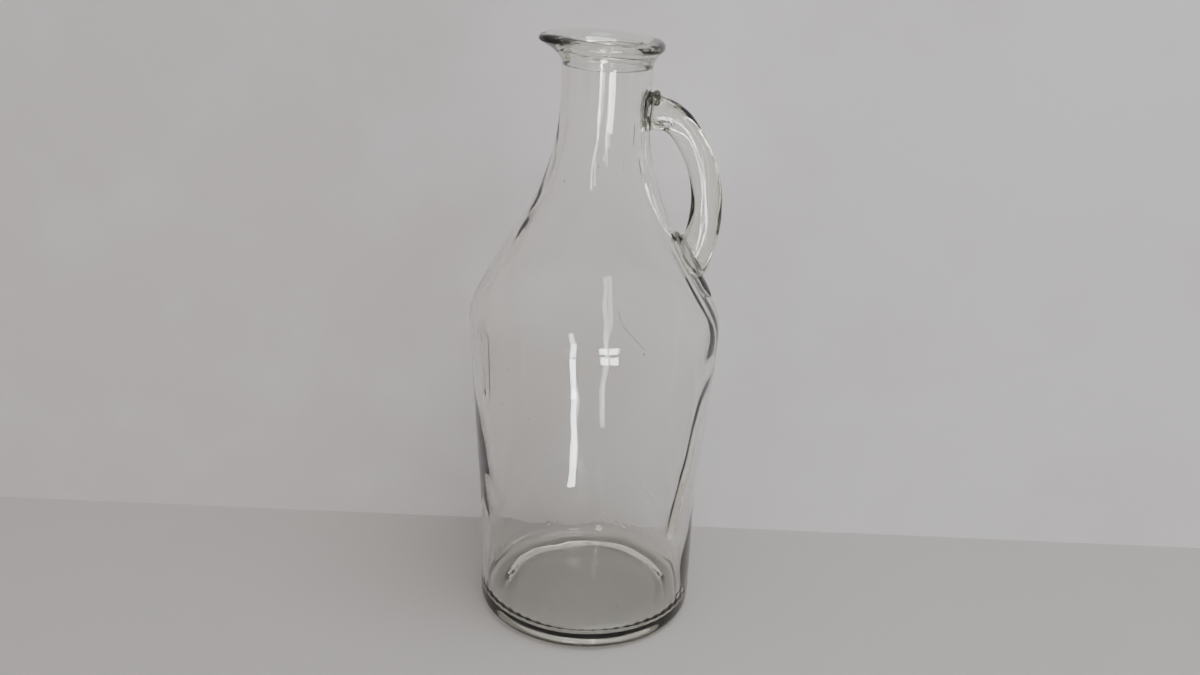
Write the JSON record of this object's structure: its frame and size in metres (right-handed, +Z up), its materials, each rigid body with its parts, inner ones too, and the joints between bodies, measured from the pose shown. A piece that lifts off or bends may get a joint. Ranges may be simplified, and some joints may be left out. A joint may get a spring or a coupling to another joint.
{
  "type": "growler",
  "caption": "Free-blown clear glass growler jug with a long neck, an applied lip with a pouring spout, and an applied loop handle from neck to shoulder.",
  "frame": {"origin": "centre of the base's bearing plane, on the neck's axis", "axes": "+Z up along the neck's axis, +X towards the handle, -X towards the pouring spout, -Y towards the side seen with the handle on the right"},
  "size_m": [0.1263, 0.1264, 0.3012],
  "materials": {
    "body_glass": "clear free-blown glass, faint grey-green tint, wavy, with seeds and light scratches",
    "lip_glass": "clear fire-polished glass, a little greener where it is thick",
    "handle_glass": "clear drawn glass with cords along its length"
  },
  "bodies": {
    "root": {"bottle_body": "body_glass", "applied_lip": "lip_glass", "handle_strap": "handle_glass", "handle_upper_pad": "handle_glass", "handle_bead": "handle_glass", "handle_tongue": "handle_glass", "handle_lower_pad": "handle_glass", "handle_tail": "handle_glass"}
  },
  "joints": []
}
